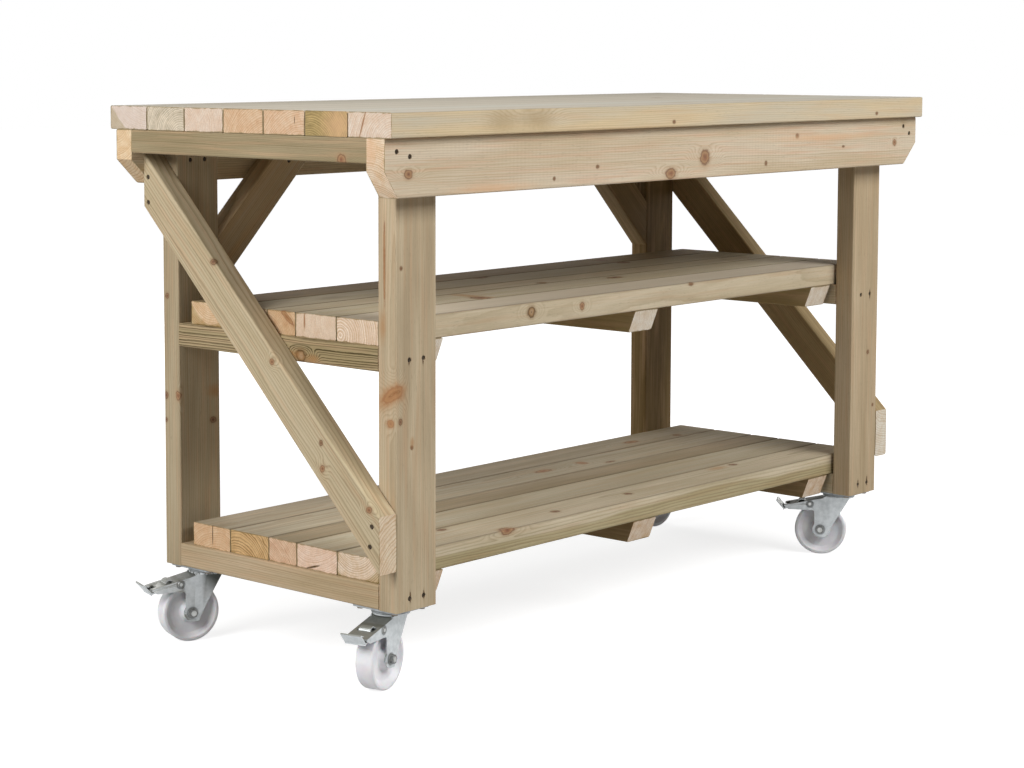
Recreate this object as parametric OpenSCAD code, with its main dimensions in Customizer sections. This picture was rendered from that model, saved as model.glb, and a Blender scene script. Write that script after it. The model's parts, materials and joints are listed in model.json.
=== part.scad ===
// Wooden workbench on four swivel casters.
// Sawn timber is screwed into a frame with a board top and two board shelves.
// The origin is on the floor under the middle of the bench.
// X runs along the bench, Y runs from the front to the rear and Z is up.

/* [Timber] */
// Thickness of all the timber
timber_t = 38; // [32:1:44]
// Width of the wide timber, used for top, aprons, legs and shelves
board_w = 89; // [80:1:98]
// Width of the narrow timber, used for top rails, braces and bearers
narrow_w = 63; // [50:1:75]
// Radius of the eased long edges
ease_r = 3; // [1:0.5:6]

/* [Top and frame] */
// Length of the top
top_l = 1468; // [1300:1:1800]
// Gap between the boards of the top
top_gap = 1.5; // [0.5:0.1:4]
// How far the top stands past the faces of the aprons
top_lip = 14; // [0:1:25]
// Length of the legs, from the caster plates to the underside of the top
leg_l = 720; // [660:1:800]
// Height of the sloping cut at the lower corners of the aprons
apron_cut_h = 40; // [20:1:60]
// Length of that cut along the apron
apron_cut_l = 42; // [20:1:60]
// Length of the shorter cut at the front left corner
apron_cut_left_l = 28; // [15:1:60]

/* [Shelves and braces] */
// Height of the upper shelf's rails above the feet of the legs
upper_rail_z = 365; // [280:1:420]
// Gap between the boards of a shelf
shelf_gap = 1; // [0.5:0.1:3]
// Gap between the front legs and the front shelf board
shelf_front_gap = 5.5; // [1:0.5:12]
// How far the shelf boards stop short of the left legs' outer faces
shelf_left_in = 7; // [0:1:30]
// How far the shelf boards stop short of the right legs' outer faces
shelf_right_in = 1; // [0:1:30]
// Gap between the right shelf rails and the bearers beside them
bearer_gap = 11; // [0:1:30]
// How far the bearers' ends are undercut
bearer_undercut = 15; // [5:1:25]
// Slope of all the braces
brace_angle = 45; // [40:1:47]
// Height of a knee brace's lower corner above the feet of the legs
knee_z = 453; // [440:1:480]

/* [Screws] */
// Diameter of a wood screw
screw_d = 4.5; // [3.5:0.1:6]
// Diameter of a wood screw's countersunk head
screw_head_d = 8; // [7:0.1:10]
// How deep the heads are sunk below the surface
screw_sink = 1.5; // [0.5:0.5:3]
// Spacing of the two screws in a joint
screw_pitch = 31; // [20:1:40]
// Length of the screws that go through the face of a timber
screw_l = 65; // [55:1:70]
// Length of the screws that go into the end of a timber
end_screw_l = 90; // [70:1:110]

/* [Casters] */
// Diameter of the wheels
wheel_d = 98; // [90:1:110]
// Width of the tread
wheel_w = 30; // [26:1:31]
// Width of the wheel's hub
hub_w = 34; // [33:1:38]
// Height of the caster above its wheel
head_h = 27; // [25:0.5:34]
// Distance of the axle from the swivel axis
caster_trail = 34; // [28:1:38]
// Distance of the swivel axes from the legs' outer faces, along the bench
swivel_in_x = 43; // [42:1:46]
// The same distance from front to rear
swivel_in_y = 53; // [50:1:56]
// Mounting plate, along the bench
plate_x = 80; // [76:1:84]
// Mounting plate, from front to rear
plate_y = 94; // [88:1:100]
// Thickness of the mounting plate
plate_t = 3; // [2:0.5:4]
// Spacing of the plate's bolts along the bench
bolt_x = 60; // [54:1:62]
// Spacing of the plate's bolts from front to rear
bolt_y = 72; // [68:1:76]
// Diameter of the plate's bolts
bolt_d = 6; // [5:0.5:8]
// Length of the plate's bolts in the timber
bolt_l = 32; // [20:1:36]
// Diameter of the axle bolt
axle_d = 8; // [6:1:10]
// Thickness of the fork's and pedal's sheet steel
sheet_t = 2.5; // [1.5:0.5:3]
// Slope of the fork's roof over the wheel
roof_angle = 12; // [10:0.5:14]
// Distance of the roof's end from the swivel axis
roof_x = 103; // [98:1:110]
// Length of the pedal's raised lip
lip_l = 22; // [14:1:28]
// Width of the pedal's lip
lip_w = 36; // [26:1:38]
// How far the brake pedal is pressed down
pedal_travel = 8; // [4:1:9]

/* [Hidden] */

// Facets of round shapes, all above the count that keeps them true circles
$fn = 40;
// Facets of screws and of eased edges
small_fn = 20;

// Colours of the finishes
pine = "#b8a888";
zinc = "#a9adb0";
nylon = "#dcdad8";
dark_zinc = "#8a8d90";

// The frame in plan and in height
top_boards = 7;
top_d = top_boards * board_w + (top_boards - 1) * top_gap;
frame_d = top_d - 2 * (top_lip + timber_t);
leg_span = top_l - 2 * narrow_w;
wheel_r = wheel_d / 2;
foot_z = wheel_d + head_h;
under_top_z = foot_z + leg_l;
top_rail_z = under_top_z - timber_t;
leg_x = leg_span / 2;
leg_y = frame_d / 2;
leg_in_x = leg_x - board_w;
leg_in_y = leg_y - timber_t;
rail_zs = [foot_z, foot_z + upper_rail_z];

// The shelves, with a narrow board in the middle of the wide ones
shelf_widths = [board_w, board_w, narrow_w, board_w, board_w];
shelf_y0 = -leg_in_y + shelf_front_gap;
shelf_d = 4 * board_w + narrow_w + 4 * shelf_gap;
function shelf_y(i) = i == 0 ? shelf_y0
    : shelf_y(i - 1) + shelf_widths[i - 1] + shelf_gap;
shelf_x0 = -leg_x + shelf_left_in;
shelf_l = leg_span - shelf_left_in - shelf_right_in;
bearer_xs = [-leg_in_x, -narrow_w / 2, leg_in_x - bearer_gap - narrow_w];

// The upright size of a brace where it is cut off plumb
brace_cut = narrow_w / cos(brace_angle);

// Fits of the screws and bolts in their holes
hole_gap = 0.05;
screw_head_h = 3.5;
// Distance of a screw from the end or the edge of a timber
edge_in = timber_t / 2;
// Two screws at each end of an apron: in from its end, and down from the top
left_apron_pair = [[25, 20], [53, 28]];
right_apron_pair = [[44, 17], [23, 31]];
// The screws from the legs into the aprons, down from the top
leg_apron_drop = 51;
// An end brace's screws: back from the frame's front, and up from the brace's middle
brace_places = [[15, 13], [19, -22], [frame_d - 10, 15], [frame_d - 10, -26]];

// One screw is its head's middle, the way it is driven and its length
function reach(s) = s[0] + s[1] * s[2];
function spans(a, b, lo, hi) = min(a, b) - screw_head_d < hi && max(a, b) + screw_head_d > lo;
function touches(s, lo, hi) = spans(s[0].x, reach(s).x, lo.x, hi.x)
    && spans(s[0].y, reach(s).y, lo.y, hi.y)
    && spans(s[0].z, reach(s).z, lo.z, hi.z);
function turn(d) = d.y > 0 ? [90, 0, 0]
    : d.y < 0 ? [-90, 0, 0]
    : d.x > 0 ? [0, -90, 0]
    : d.x < 0 ? [0, 90, 0]
    : [180, 0, 0];

pair = [-screw_pitch / 2, screw_pitch / 2];
brace_z0 = top_rail_z - brace_cut - frame_d * tan(brace_angle);
top_rail_xs = [-leg_x - narrow_w, -narrow_w / 2, leg_x];
// Through the legs into the ends of the shelf rails
leg_rail_screws = [
    for (sx = [-1, 1], sy = [-1, 1], z = rail_zs, dx = pair)
        [[sx * (leg_x - board_w / 2) + dx, sy * leg_y, z + timber_t / 2], [0, -sy, 0], end_screw_l]
];
// From inside through the legs into the aprons
leg_apron_screws = [
    for (sx = [-1, 1], sy = [-1, 1], dx = pair)
        [[sx * (leg_x - board_w / 2) + dx, sy * leg_in_y, under_top_z - leg_apron_drop],
            [0, sy, 0], screw_l]
];
// Through the aprons into the ends of the left and the right top rail
apron_rail_screws = [
    for (sx = [-1, 1], sy = [-1, 1], p = sx < 0 ? left_apron_pair : right_apron_pair)
        [[sx * (top_l / 2 - p.x), sy * (leg_y + timber_t), under_top_z - p.y],
            [0, -sy, 0], end_screw_l]
];
// Through the ends of the end braces into the legs
brace_screws = [
    for (sx = [-1, 1], p = brace_places)
        [[sx * (leg_x + timber_t), p.x - leg_y,
            brace_z0 + brace_cut / 2 + p.x * tan(brace_angle) + p.y], [-sx, 0, 0], screw_l]
];
// Through the upper ends of the knee braces into the rear apron
knee_screws = [
    for (sx = [-1, 1], dz = pair)
        let (z = under_top_z - board_w / 2 + dz)
        [[sx * (leg_in_x - (z - foot_z - knee_z - brace_cut / 2) / tan(brace_angle)),
            leg_in_y, z], [0, 1, 0], screw_l]
];
frame_screw_list = concat(
    leg_rail_screws, leg_apron_screws, apron_rail_screws, brace_screws, knee_screws
);
// Upwards through the top rails into the boards of the top
top_screw_list = [
    for (x = top_rail_xs, i = [0:top_boards - 1])
        let (y = (i + 0.5) * board_w + i * top_gap - top_d / 2)
        [[x + narrow_w / 2, max(-leg_y + edge_in, min(leg_y - edge_in, y)), top_rail_z],
            [0, 0, 1], screw_l]
];
// Upwards through the shelf rails and the bearers into the shelf boards
shelf_screw_list = [
    for (z = rail_zs, i = [0:4], x = concat(
        [-leg_x + board_w / 2, leg_x - board_w / 2], [for (b = bearer_xs) b + narrow_w / 2]))
        [[x, shelf_y(i) + shelf_widths[i] / 2, z], [0, 0, 1], screw_l]
];
screw_list = concat(frame_screw_list, top_screw_list, shelf_screw_list);

// The corners of the bench, and the way the caster at each one trails
corners = ["fl", "fr", "rl", "rr"];
corner_signs = [[-1, -1], [1, -1], [-1, 1], [1, 1]];
trail_angles = [193, 120, 160, 172];

// Heights inside a caster, down from the face of its plate
weld = 0.1;
running = 0.05;
plate_corner_r = 8;
race_gap = 0.3;
ball_r = 2.5;
ball_count = 16;
ball_ring_r = 22;
ball_z = -plate_t - 4.5;
race_low_z = ball_z + 0.8;
race_floor_r = ball_ring_r + 5;
race_wall_r = ball_ring_r + 7.2;
race_lip_r = ball_ring_r + 9;
race_foot_r = race_lip_r - 2;
crown_top_z = ball_z - 0.8;
crown_top_r = ball_ring_r + 4;
crown_bend_r = ball_ring_r + 6;
crown_r = 30;
crown_z = ball_z - 2.8;
crown_low_z = crown_z - sheet_t;
race_lip_z = crown_z + 0.8;
kingpin_r = 6;
kingpin_head_r = 10;
kingpin_head_bevel = [2, 1.2];
kingpin_top_z = crown_low_z - race_gap;
kingpin_low_z = kingpin_top_z - 3;
axle_z = -head_h - wheel_r;

// The wheel turns on the axle's spacer tube, and its sides are dished
spacer_r = axle_d / 2 + 2;
bore_r = spacer_r + running;
hub_r = bore_r + 8;
hub_foot_r = hub_r + 2;
dish_in_r = hub_r + 5;
dish_out_r = wheel_r - 14;
rim_in_r = wheel_r - 8;
rim_out_r = wheel_r - 6;
dish_half = 7.5;
rim_step = 2.5;
hub_step = 4;
tread_round = 3;

// The fork: its sides stand either side of the hub
fork_in = hub_w / 2 + 0.5;
fork_out = fork_in + sheet_t;
// The front of each side is pressed inwards to this distance from the tread
tread_gap = 1.2;
joggle = fork_in - wheel_w / 2 - tread_gap;
// The bend inwards lies in front of the hub
joggle_x = [caster_trail - hub_r - 13, caster_trail - hub_r - 1];
joggle_slant = 0.5;
pin_r = 3;
pin_head_r = pin_r + 2.5;
pin_head_h = 1.5;
pin_x = caster_trail + 20;
pin_wheel_gap = 1;
pin_z = axle_z + sqrt(pow(wheel_r + pin_r + pin_wheel_gap, 2) - pow(pin_x - caster_trail, 2));
// The roof clears the brake's pin, and slopes down from the crown
roof_x0 = crown_r - 2;
roof_low_at_pin = pin_z + pin_r + 1;
function roof_z(x) = roof_low_at_pin + sheet_t / cos(roof_angle) - (x - pin_x) * tan(roof_angle);
roof_end_z = roof_z(roof_x);
side_low_z = roof_end_z - 8;
fork_foot_r = 14.5;
fork_low_z = axle_z - fork_foot_r;
fork_back_x = caster_trail + 11;
fork_toe_x = [caster_trail - 18, caster_trail - 11];
fork_corner_r = 6;
fork_front_x = -21;
side_end_cut = [8, 2.5];
bridge_w = 20;
bridge_r = 9;
bridge_rise = 5;
bridge_x = 44;
bridge_t = 2;
slot_w = 28;
slot_l = 14;
notch = [20, 18];

// The pedal hangs on its pin between the fork's sides
ear_t = 1.8;
ear_out = fork_in - 0.4;
pedal_gap = 0.5;
pedal_drop = 3;
ear_r = 5.5;
ear_end_x = roof_x - 6;
web_x = pin_x + 6;
lip_x = roof_x + 1.5;
// The upper face of the pedal, which falls away from the roof behind its web
function pedal_z(x) = roof_z(x) - (pedal_gap + sheet_t) / cos(roof_angle)
    - pedal_drop * max(0, x - web_x) / (lip_x - web_x);
shoe_x = [web_x, web_x + 10];
shoe_w = 2 * (wheel_w / 2 - 2.5);
shoe_gap = 0.3;
lip_angle = 48;

// Hexagon heads and nuts, and the washers of the axle
function hex_d(d) = d * 13 / 8 / cos(30);
function hex_t(d) = d * 0.66;
washer_t = 1.6;
washer_r = axle_d;

// A rectangle with eased corners
module eased(a, b) {
    translate([ease_r, 0]) square([a - 2 * ease_r, b]);
    translate([0, ease_r]) square([a, b - 2 * ease_r]);
    for (x = [ease_r, a - ease_r], y = [ease_r, b - ease_r])
        translate([x, y]) circle(ease_r, $fn = small_fn);
}

// Timber with eased long edges, from one corner, along X, Y or Z
module timber_x(size) {
    rotate([90, 0, 90]) linear_extrude(size.x) eased(size.y, size.z);
}
module timber_y(size) {
    translate([0, size.y, 0]) rotate([90, 0, 0]) linear_extrude(size.y) eased(size.x, size.z);
}
module timber_z(size) {
    linear_extrude(size.z) eased(size.x, size.y);
}

// A countersunk screw driven downwards, its head sunk below zero
module screw(l, grow = 0) {
    translate([0, 0, -screw_sink]) {
        translate([0, 0, -l - grow]) cylinder(r = screw_d / 2 + grow, h = l + grow, $fn = small_fn);
        translate([0, 0, -screw_head_h])
            cylinder(r1 = screw_d / 2 + grow, r2 = screw_head_d / 2 + grow, h = screw_head_h,
                $fn = small_fn);
    }
}
module screw_hole(l) {
    screw(l, hole_gap);
    translate([0, 0, -screw_sink])
        cylinder(d = screw_head_d + 2 * hole_gap, h = screw_sink, $fn = small_fn);
}
module placed(s) {
    translate(s[0]) rotate(turn(s[1])) children();
}
module screws(list) {
    color(zinc) for (s = list) placed(s) screw(s[2]);
}

// Drills the piece that fills the box from lo to hi for each screw and bolt in it
module drilled(lo, hi) {
    color(pine) difference() {
        children();
        for (s = screw_list) if (touches(s, lo, hi)) placed(s) screw_hole(s[2]);
        for (c = corner_signs, dx = [-1, 1], dy = [-1, 1]) {
            p = bolt_place(c, dx, dy);
            if (touches([p, [0, 0, 1], bolt_l], lo, hi))
                translate([p.x, p.y, foot_z - 1])
                    cylinder(d = bolt_d + 2 * hole_gap, h = bolt_l + 1 + hole_gap);
        }
    }
}
function bolt_place(c, dx, dy) = [
    c.x * (leg_x - swivel_in_x) + dx * bolt_x / 2,
    c.y * (leg_y - swivel_in_y) + dy * bolt_y / 2,
    foot_z
];

// Timber pieces
module board_x(lo, size) {
    drilled(lo, lo + size) translate(lo) timber_x(size);
}
module board_y(lo, size) {
    drilled(lo, lo + size) translate(lo) timber_y(size);
}
module top_board(i) {
    board_x([-top_l / 2, i * (board_w + top_gap) - top_d / 2, under_top_z], [top_l, board_w, timber_t]);
}
module apron(y, left_cut) {
    low = under_top_z - board_w;
    difference() {
        board_x([-top_l / 2, y, low], [top_l, timber_t, board_w]);
        for (s = [-1, 1])
            translate([s * top_l / 2, y - 1, low]) rotate([-90, 0, 0]) linear_extrude(timber_t + 2)
                polygon([[s, 1], [s, -apron_cut_h], [0, -apron_cut_h],
                    [-s * (s < 0 ? left_cut : apron_cut_l), 0],
                    [-s * (s < 0 ? left_cut : apron_cut_l), 1]]);
    }
}
module top_rail(i) {
    board_y([top_rail_xs[i], -leg_y, top_rail_z], [narrow_w, frame_d, timber_t]);
}
module leg(sx, sy) {
    lo = [sx < 0 ? -leg_x : leg_in_x, sy < 0 ? -leg_y : leg_in_y, foot_z];
    size = [board_w, timber_t, leg_l];
    drilled(lo, lo + size) translate(lo) timber_z(size);
}
module shelf_rail(sx, z) {
    board_y([sx < 0 ? -leg_x : leg_in_x, -leg_in_y, z], [board_w, 2 * leg_in_y, timber_t]);
}
module bearers(z) {
    for (x = bearer_xs) {
        lo = [x, shelf_y0, z];
        size = [narrow_w, shelf_d, timber_t];
        drilled(lo, lo + size) difference() {
            translate(lo) timber_y(size);
            for (s = [0, 1])
                translate([x - 1, shelf_y0 + s * shelf_d, z]) mirror([0, s, 0])
                    rotate([90, 0, 90]) linear_extrude(narrow_w + 2)
                        polygon([[-1, -1], [bearer_undercut, -1], [bearer_undercut, 0],
                            [0, timber_t], [-1, timber_t]]);
        }
    }
}
module shelf_board(z, i) {
    board_x([shelf_x0, shelf_y(i), z + timber_t], [shelf_l, shelf_widths[i], timber_t]);
}
// A brace across the end of the frame, cut off plumb at both faces of the legs
module end_brace(sx) {
    lo = [sx < 0 ? -leg_x - timber_t : leg_x, -leg_y, brace_z0];
    size = [timber_t, frame_d, top_rail_z - brace_z0];
    spare = narrow_w;
    drilled(lo, lo + size) intersection() {
        translate(lo) cube(size);
        translate(lo) rotate([brace_angle, 0, 0]) translate([0, -spare, 0])
            timber_y([timber_t, frame_d / cos(brace_angle) + 2 * spare, narrow_w]);
    }
}
// A knee brace from a rear leg up to the underside of the top
module knee_brace(sx) {
    h = leg_l - knee_z;
    l = h / tan(brace_angle);
    lo = [sx < 0 ? -leg_in_x : leg_in_x - l, leg_in_y, foot_z + knee_z];
    size = [l, timber_t, h];
    spare = narrow_w;
    drilled(lo, lo + size) intersection() {
        translate(lo) cube(size);
        translate([sx * leg_in_x, leg_in_y, foot_z + knee_z]) mirror([sx < 0 ? 0 : 1, 0, 0])
            rotate([0, -brace_angle, 0]) translate([-spare, 0, 0])
                timber_x([h / sin(brace_angle) + 2 * spare, timber_t, narrow_w]);
    }
}

// A bolt with a hexagon head, driven upwards from zero through the plate
module coach_bolt() {
    translate([0, 0, -plate_t]) cylinder(d = bolt_d, h = plate_t + bolt_l);
    translate([0, 0, -plate_t - hex_t(bolt_d)]) cylinder(d = hex_d(bolt_d), h = hex_t(bolt_d), $fn = 6);
}
module caster_bolts() {
    color(zinc) for (c = corner_signs, dx = [-1, 1], dy = [-1, 1])
        translate(bolt_place(c, dx, dy)) coach_bolt();
}

// A caster's own frame: its swivel axis is Z and it trails along +X
module at_corner(i) {
    c = corner_signs[i];
    translate([c.x * (leg_x - swivel_in_x), c.y * (leg_y - swivel_in_y), foot_z]) children();
}
module trailing(i) {
    at_corner(i) rotate([0, 0, trail_angles[i]]) children();
}

// The mounting plate with its pressed ball race and the riveted kingpin
module caster_plate() {
    r = plate_corner_r;
    color(zinc) difference() {
        union() {
            translate([0, 0, -plate_t]) linear_extrude(plate_t) {
                square([plate_x - 2 * r, plate_y], center = true);
                square([plate_x, plate_y - 2 * r], center = true);
                for (x = [r - plate_x / 2, plate_x / 2 - r], y = [r - plate_y / 2, plate_y / 2 - r])
                    translate([x, y]) circle(r);
            }
            rotate_extrude() polygon([
                [0, -plate_t + weld], [0, kingpin_low_z],
                [kingpin_head_r - kingpin_head_bevel.x, kingpin_low_z],
                [kingpin_head_r, kingpin_low_z + kingpin_head_bevel.y],
                [kingpin_head_r, kingpin_top_z], [kingpin_r, kingpin_top_z],
                [kingpin_r, race_low_z], [race_floor_r, race_low_z],
                [race_wall_r, race_lip_z], [race_lip_r, race_lip_z],
                [race_foot_r, -plate_t], [race_foot_r, -plate_t + weld]
            ]);
        }
        for (dx = [-1, 1], dy = [-1, 1])
            translate([dx * bolt_x / 2, dy * bolt_y / 2, -plate_t - 1])
                cylinder(d = bolt_d + 2 * hole_gap, h = plate_t + 2);
        rotate_extrude() translate([ball_ring_r, ball_z]) circle(ball_r + race_gap);
    }
}

// The outline of a fork side, seen along the axle
module fork_side() {
    polygon([
        [fork_front_x, crown_low_z], [fork_front_x, crown_low_z - 1],
        [fork_toe_x[0], axle_z], [fork_toe_x[1], fork_low_z], [caster_trail, fork_low_z],
        [fork_back_x, axle_z], [fork_back_x, side_low_z],
        [roof_x - side_end_cut.x, side_low_z], [roof_x, roof_end_z - side_end_cut.y],
        [roof_x, roof_end_z], [roof_x0, roof_z(roof_x0)], [roof_x0, crown_low_z]
    ]);
    translate([caster_trail, axle_z]) circle(fork_foot_r);
    difference() {
        translate([fork_back_x, side_low_z - fork_corner_r]) square(fork_corner_r);
        translate([fork_back_x + fork_corner_r, side_low_z - fork_corner_r]) circle(fork_corner_r);
    }
}
// The bent sheet of a fork side, seen from above
module fork_bend() {
    polygon([
        [-wheel_r, -fork_out + joggle], [joggle_x[0], -fork_out + joggle], [joggle_x[1], -fork_out],
        [roof_x + 1, -fork_out], [roof_x + 1, -fork_in], [joggle_x[1] + joggle_slant, -fork_in],
        [joggle_x[0] + joggle_slant, -fork_in + joggle], [-wheel_r, -fork_in + joggle]
    ]);
}
// Moves a piece onto the roof, with +X down its slope
module on_roof() {
    translate([roof_x0, 0, roof_z(roof_x0)]) rotate([0, roof_angle, 0]) children();
}
module fork() {
    roof_l = (roof_x - roof_x0) / cos(roof_angle);
    color(zinc) difference() {
        union() {
            for (s = [0, 1]) mirror([0, s, 0]) intersection() {
                rotate([90, 0, 0]) linear_extrude(2 * fork_out, center = true) fork_side();
                translate([0, 0, fork_low_z - 1]) linear_extrude(-fork_low_z) fork_bend();
            }
            rotate_extrude() polygon([
                [kingpin_r + running, crown_top_z], [crown_top_r, crown_top_z],
                [crown_bend_r, crown_z], [crown_r, crown_z], [crown_r, crown_low_z],
                [kingpin_r + running, crown_low_z]
            ]);
            rotate([90, 0, 0]) linear_extrude(2 * fork_out, center = true) polygon([
                [crown_r - 8, crown_z], [roof_x0, roof_z(roof_x0)], [roof_x, roof_end_z],
                [roof_x, roof_end_z - sheet_t / cos(roof_angle)],
                [roof_x0, roof_z(roof_x0) - sheet_t / cos(roof_angle)], [crown_r - 8, crown_low_z]
            ]);
        }
        rotate_extrude() translate([ball_ring_r, ball_z]) circle(ball_r + running);
        translate([caster_trail, 0, axle_z]) rotate([90, 0, 0])
            cylinder(d = axle_d + 2 * hole_gap, h = 3 * fork_out, center = true);
        translate([pin_x, 0, pin_z]) rotate([90, 0, 0])
            cylinder(r = pin_r + hole_gap, h = 3 * fork_out, center = true);
        on_roof() {
            translate([bridge_x, 0, 0]) cube([slot_l, slot_w, 3 * sheet_t], center = true);
            translate([roof_l, 0, 0]) cube([notch.x, notch.y, 4 * sheet_t], center = true);
        }
    }
    color(zinc) on_roof() translate([bridge_x, 0, bridge_rise - bridge_r]) rotate([90, 0, 0])
        linear_extrude(bridge_w, center = true) intersection() {
            difference() {
                circle(bridge_r);
                circle(bridge_r - bridge_t);
            }
            translate([-bridge_r, bridge_r - bridge_rise - sheet_t]) square([2 * bridge_r, bridge_r]);
        }
}

// The axle bolt with its nut, washers and spacer, the pedal's pin and the ring of balls
module axle_set() {
    nut_y = fork_out + washer_t;
    bolt_end = nut_y + hex_t(axle_d) + 1;
    color(zinc) translate([caster_trail, 0, axle_z]) rotate([90, 0, 0]) {
        difference() {
            cylinder(r = spacer_r, h = 2 * fork_in, center = true);
            cylinder(d = axle_d + 2 * hole_gap, h = 3 * fork_in, center = true);
        }
        translate([0, 0, -bolt_end]) cylinder(d = axle_d, h = 2 * bolt_end - 1);
        for (s = [0, 1]) mirror([0, 0, s]) {
            translate([0, 0, fork_out]) cylinder(r = washer_r, h = washer_t);
            translate([0, 0, nut_y]) cylinder(d = hex_d(axle_d), h = hex_t(axle_d), $fn = 6);
        }
    }
    color(zinc) translate([pin_x, 0, pin_z]) rotate([90, 0, 0]) {
        cylinder(r = pin_r, h = 2 * fork_out, center = true);
        for (s = [0, 1]) mirror([0, 0, s]) translate([0, 0, fork_out])
            cylinder(r1 = pin_head_r, r2 = pin_head_r - 1, h = pin_head_h);
    }
    color(dark_zinc) for (i = [0:ball_count - 1])
        rotate([0, 0, i * 360 / ball_count]) translate([ball_ring_r, 0, ball_z]) sphere(ball_r);
}

// The wheel's section, from the bore out to the rounded tread
module wheel_section() {
    r = tread_round;
    half = wheel_w / 2;
    polygon([
        [bore_r, -hub_w / 2], [hub_r, -hub_w / 2], [hub_foot_r, hub_step - half],
        [dish_in_r, -dish_half], [dish_out_r, -dish_half], [rim_in_r, rim_step - half],
        [rim_out_r, -half], [wheel_r - r, -half], [wheel_r - r, half], [rim_out_r, half],
        [rim_in_r, half - rim_step], [dish_out_r, dish_half], [dish_in_r, dish_half],
        [hub_foot_r, half - hub_step], [hub_r, hub_w / 2], [bore_r, hub_w / 2]
    ]);
    translate([wheel_r - r - 1, r - half]) square([r + 1, wheel_w - 2 * r]);
    for (y = [r - half, half - r]) translate([wheel_r - r, y]) circle(r);
}
module wheel() {
    color(nylon) translate([caster_trail, 0, axle_z]) rotate([90, 0, 0])
        rotate_extrude($fn = 72) wheel_section();
}

// The brake pedal: two ears on the pin, a web under the roof, a shoe and a raised lip
module below_pedal_top() {
    near = fork_front_x;
    far = lip_x + lip_l;
    polygon([
        [near, pedal_z(near)], [web_x, pedal_z(web_x)], [far, pedal_z(far)], [far, -wheel_d],
        [near, -wheel_d]
    ]);
}
// What clears a shape once the pedal is pressed down
module before_press() {
    translate([pin_x, pin_z]) rotate(pedal_travel) translate([-pin_x, -pin_z]) children();
}
module pedal_strip() {
    polygon([
        [web_x, pedal_z(web_x)], [lip_x + 1, pedal_z(lip_x + 1)], [lip_x + 1, pedal_z(lip_x + 1) - sheet_t],
        [web_x, pedal_z(web_x) - sheet_t]
    ]);
}
module pedal_lip() {
    translate([lip_x, pedal_z(lip_x) - sheet_t]) rotate(lip_angle) square([lip_l, sheet_t]);
    translate([lip_x, pedal_z(lip_x) - sheet_t]) circle(1);
}
module pedal_shoe() {
    difference() {
        intersection() {
            below_pedal_top();
            translate([shoe_x[0], pin_z - 14]) square([shoe_x[1] - shoe_x[0], 14]);
        }
        before_press() translate([caster_trail, axle_z]) circle(wheel_r + shoe_gap, $fn = 72);
    }
}
module pedal_ear() {
    ear_low = side_low_z + 2;
    intersection() {
        below_pedal_top();
        before_press() below_pedal_top();
        union() {
            translate([pin_x, pin_z]) circle(ear_r);
            polygon([[pin_x, pin_z + 2 * ear_r], [ear_end_x, pin_z + 2 * ear_r], [ear_end_x, ear_low],
                [ear_end_x - 14, ear_low], [pin_x, pin_z - ear_r]]);
        }
    }
}
module pedal() {
    color(zinc) difference() {
        rotate([90, 0, 0]) {
            for (s = [0, 1]) mirror([0, 0, s])
                translate([0, 0, ear_out - ear_t]) linear_extrude(ear_t) pedal_ear();
            linear_extrude(2 * ear_out, center = true) pedal_strip();
            linear_extrude(lip_w, center = true) pedal_lip();
            linear_extrude(shoe_w, center = true) pedal_shoe();
        }
        translate([pin_x, 0, pin_z]) rotate([90, 0, 0])
            cylinder(r = pin_r + running, h = 3 * fork_out, center = true);
    }
}

top_board(0);  // top_board_1
top_board(1);  // top_board_2
top_board(2);  // top_board_3
top_board(3);  // top_board_4
top_board(4);  // top_board_5
top_board(5);  // top_board_6
top_board(6);  // top_board_7
apron(-leg_y - timber_t, apron_cut_left_l);  // front_apron
apron(leg_y, apron_cut_l);  // rear_apron
top_rail(0);  // left_top_rail
top_rail(1);  // middle_top_rail
top_rail(2);  // right_top_rail
leg(-1, -1);  // front_left_leg
leg(1, -1);  // front_right_leg
leg(-1, 1);  // rear_left_leg
leg(1, 1);  // rear_right_leg
shelf_rail(-1, rail_zs[0]);  // lower_left_rail
shelf_rail(1, rail_zs[0]);  // lower_right_rail
shelf_rail(-1, rail_zs[1]);  // upper_left_rail
shelf_rail(1, rail_zs[1]);  // upper_right_rail
bearers(rail_zs[0]);  // lower_bearers
bearers(rail_zs[1]);  // upper_bearers
shelf_board(rail_zs[0], 0);  // lower_shelf_1
shelf_board(rail_zs[0], 1);  // lower_shelf_2
shelf_board(rail_zs[0], 2);  // lower_shelf_3
shelf_board(rail_zs[0], 3);  // lower_shelf_4
shelf_board(rail_zs[0], 4);  // lower_shelf_5
shelf_board(rail_zs[1], 0);  // upper_shelf_1
shelf_board(rail_zs[1], 1);  // upper_shelf_2
shelf_board(rail_zs[1], 2);  // upper_shelf_3
shelf_board(rail_zs[1], 3);  // upper_shelf_4
shelf_board(rail_zs[1], 4);  // upper_shelf_5
end_brace(-1);  // left_end_brace
end_brace(1);  // right_end_brace
knee_brace(-1);  // left_knee_brace
knee_brace(1);  // right_knee_brace
screws(frame_screw_list);  // frame_screws
screws(top_screw_list);  // top_screws
screws(shelf_screw_list);  // shelf_screws
caster_bolts();
for (i = [0:3]) {
    at_corner(i) caster_plate();
    trailing(i) fork();
    trailing(i) axle_set();
    trailing(i) wheel();
    trailing(i) pedal();
}
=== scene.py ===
# %% [markdown]
# # A wooden workbench on casters
#
# This lesson dresses a finished construction model. The boards, legs, braces
# and casters are already there at their real size, each as a node of its own,
# and they ride on bodies that can turn. Blender's job here is the look: the
# grain of treated softwood, sawn ends, knots, zinc plated steel and nylon.
#
# The first step loads that frame.

# %% Load the frame
import json
import math
import random

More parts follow.
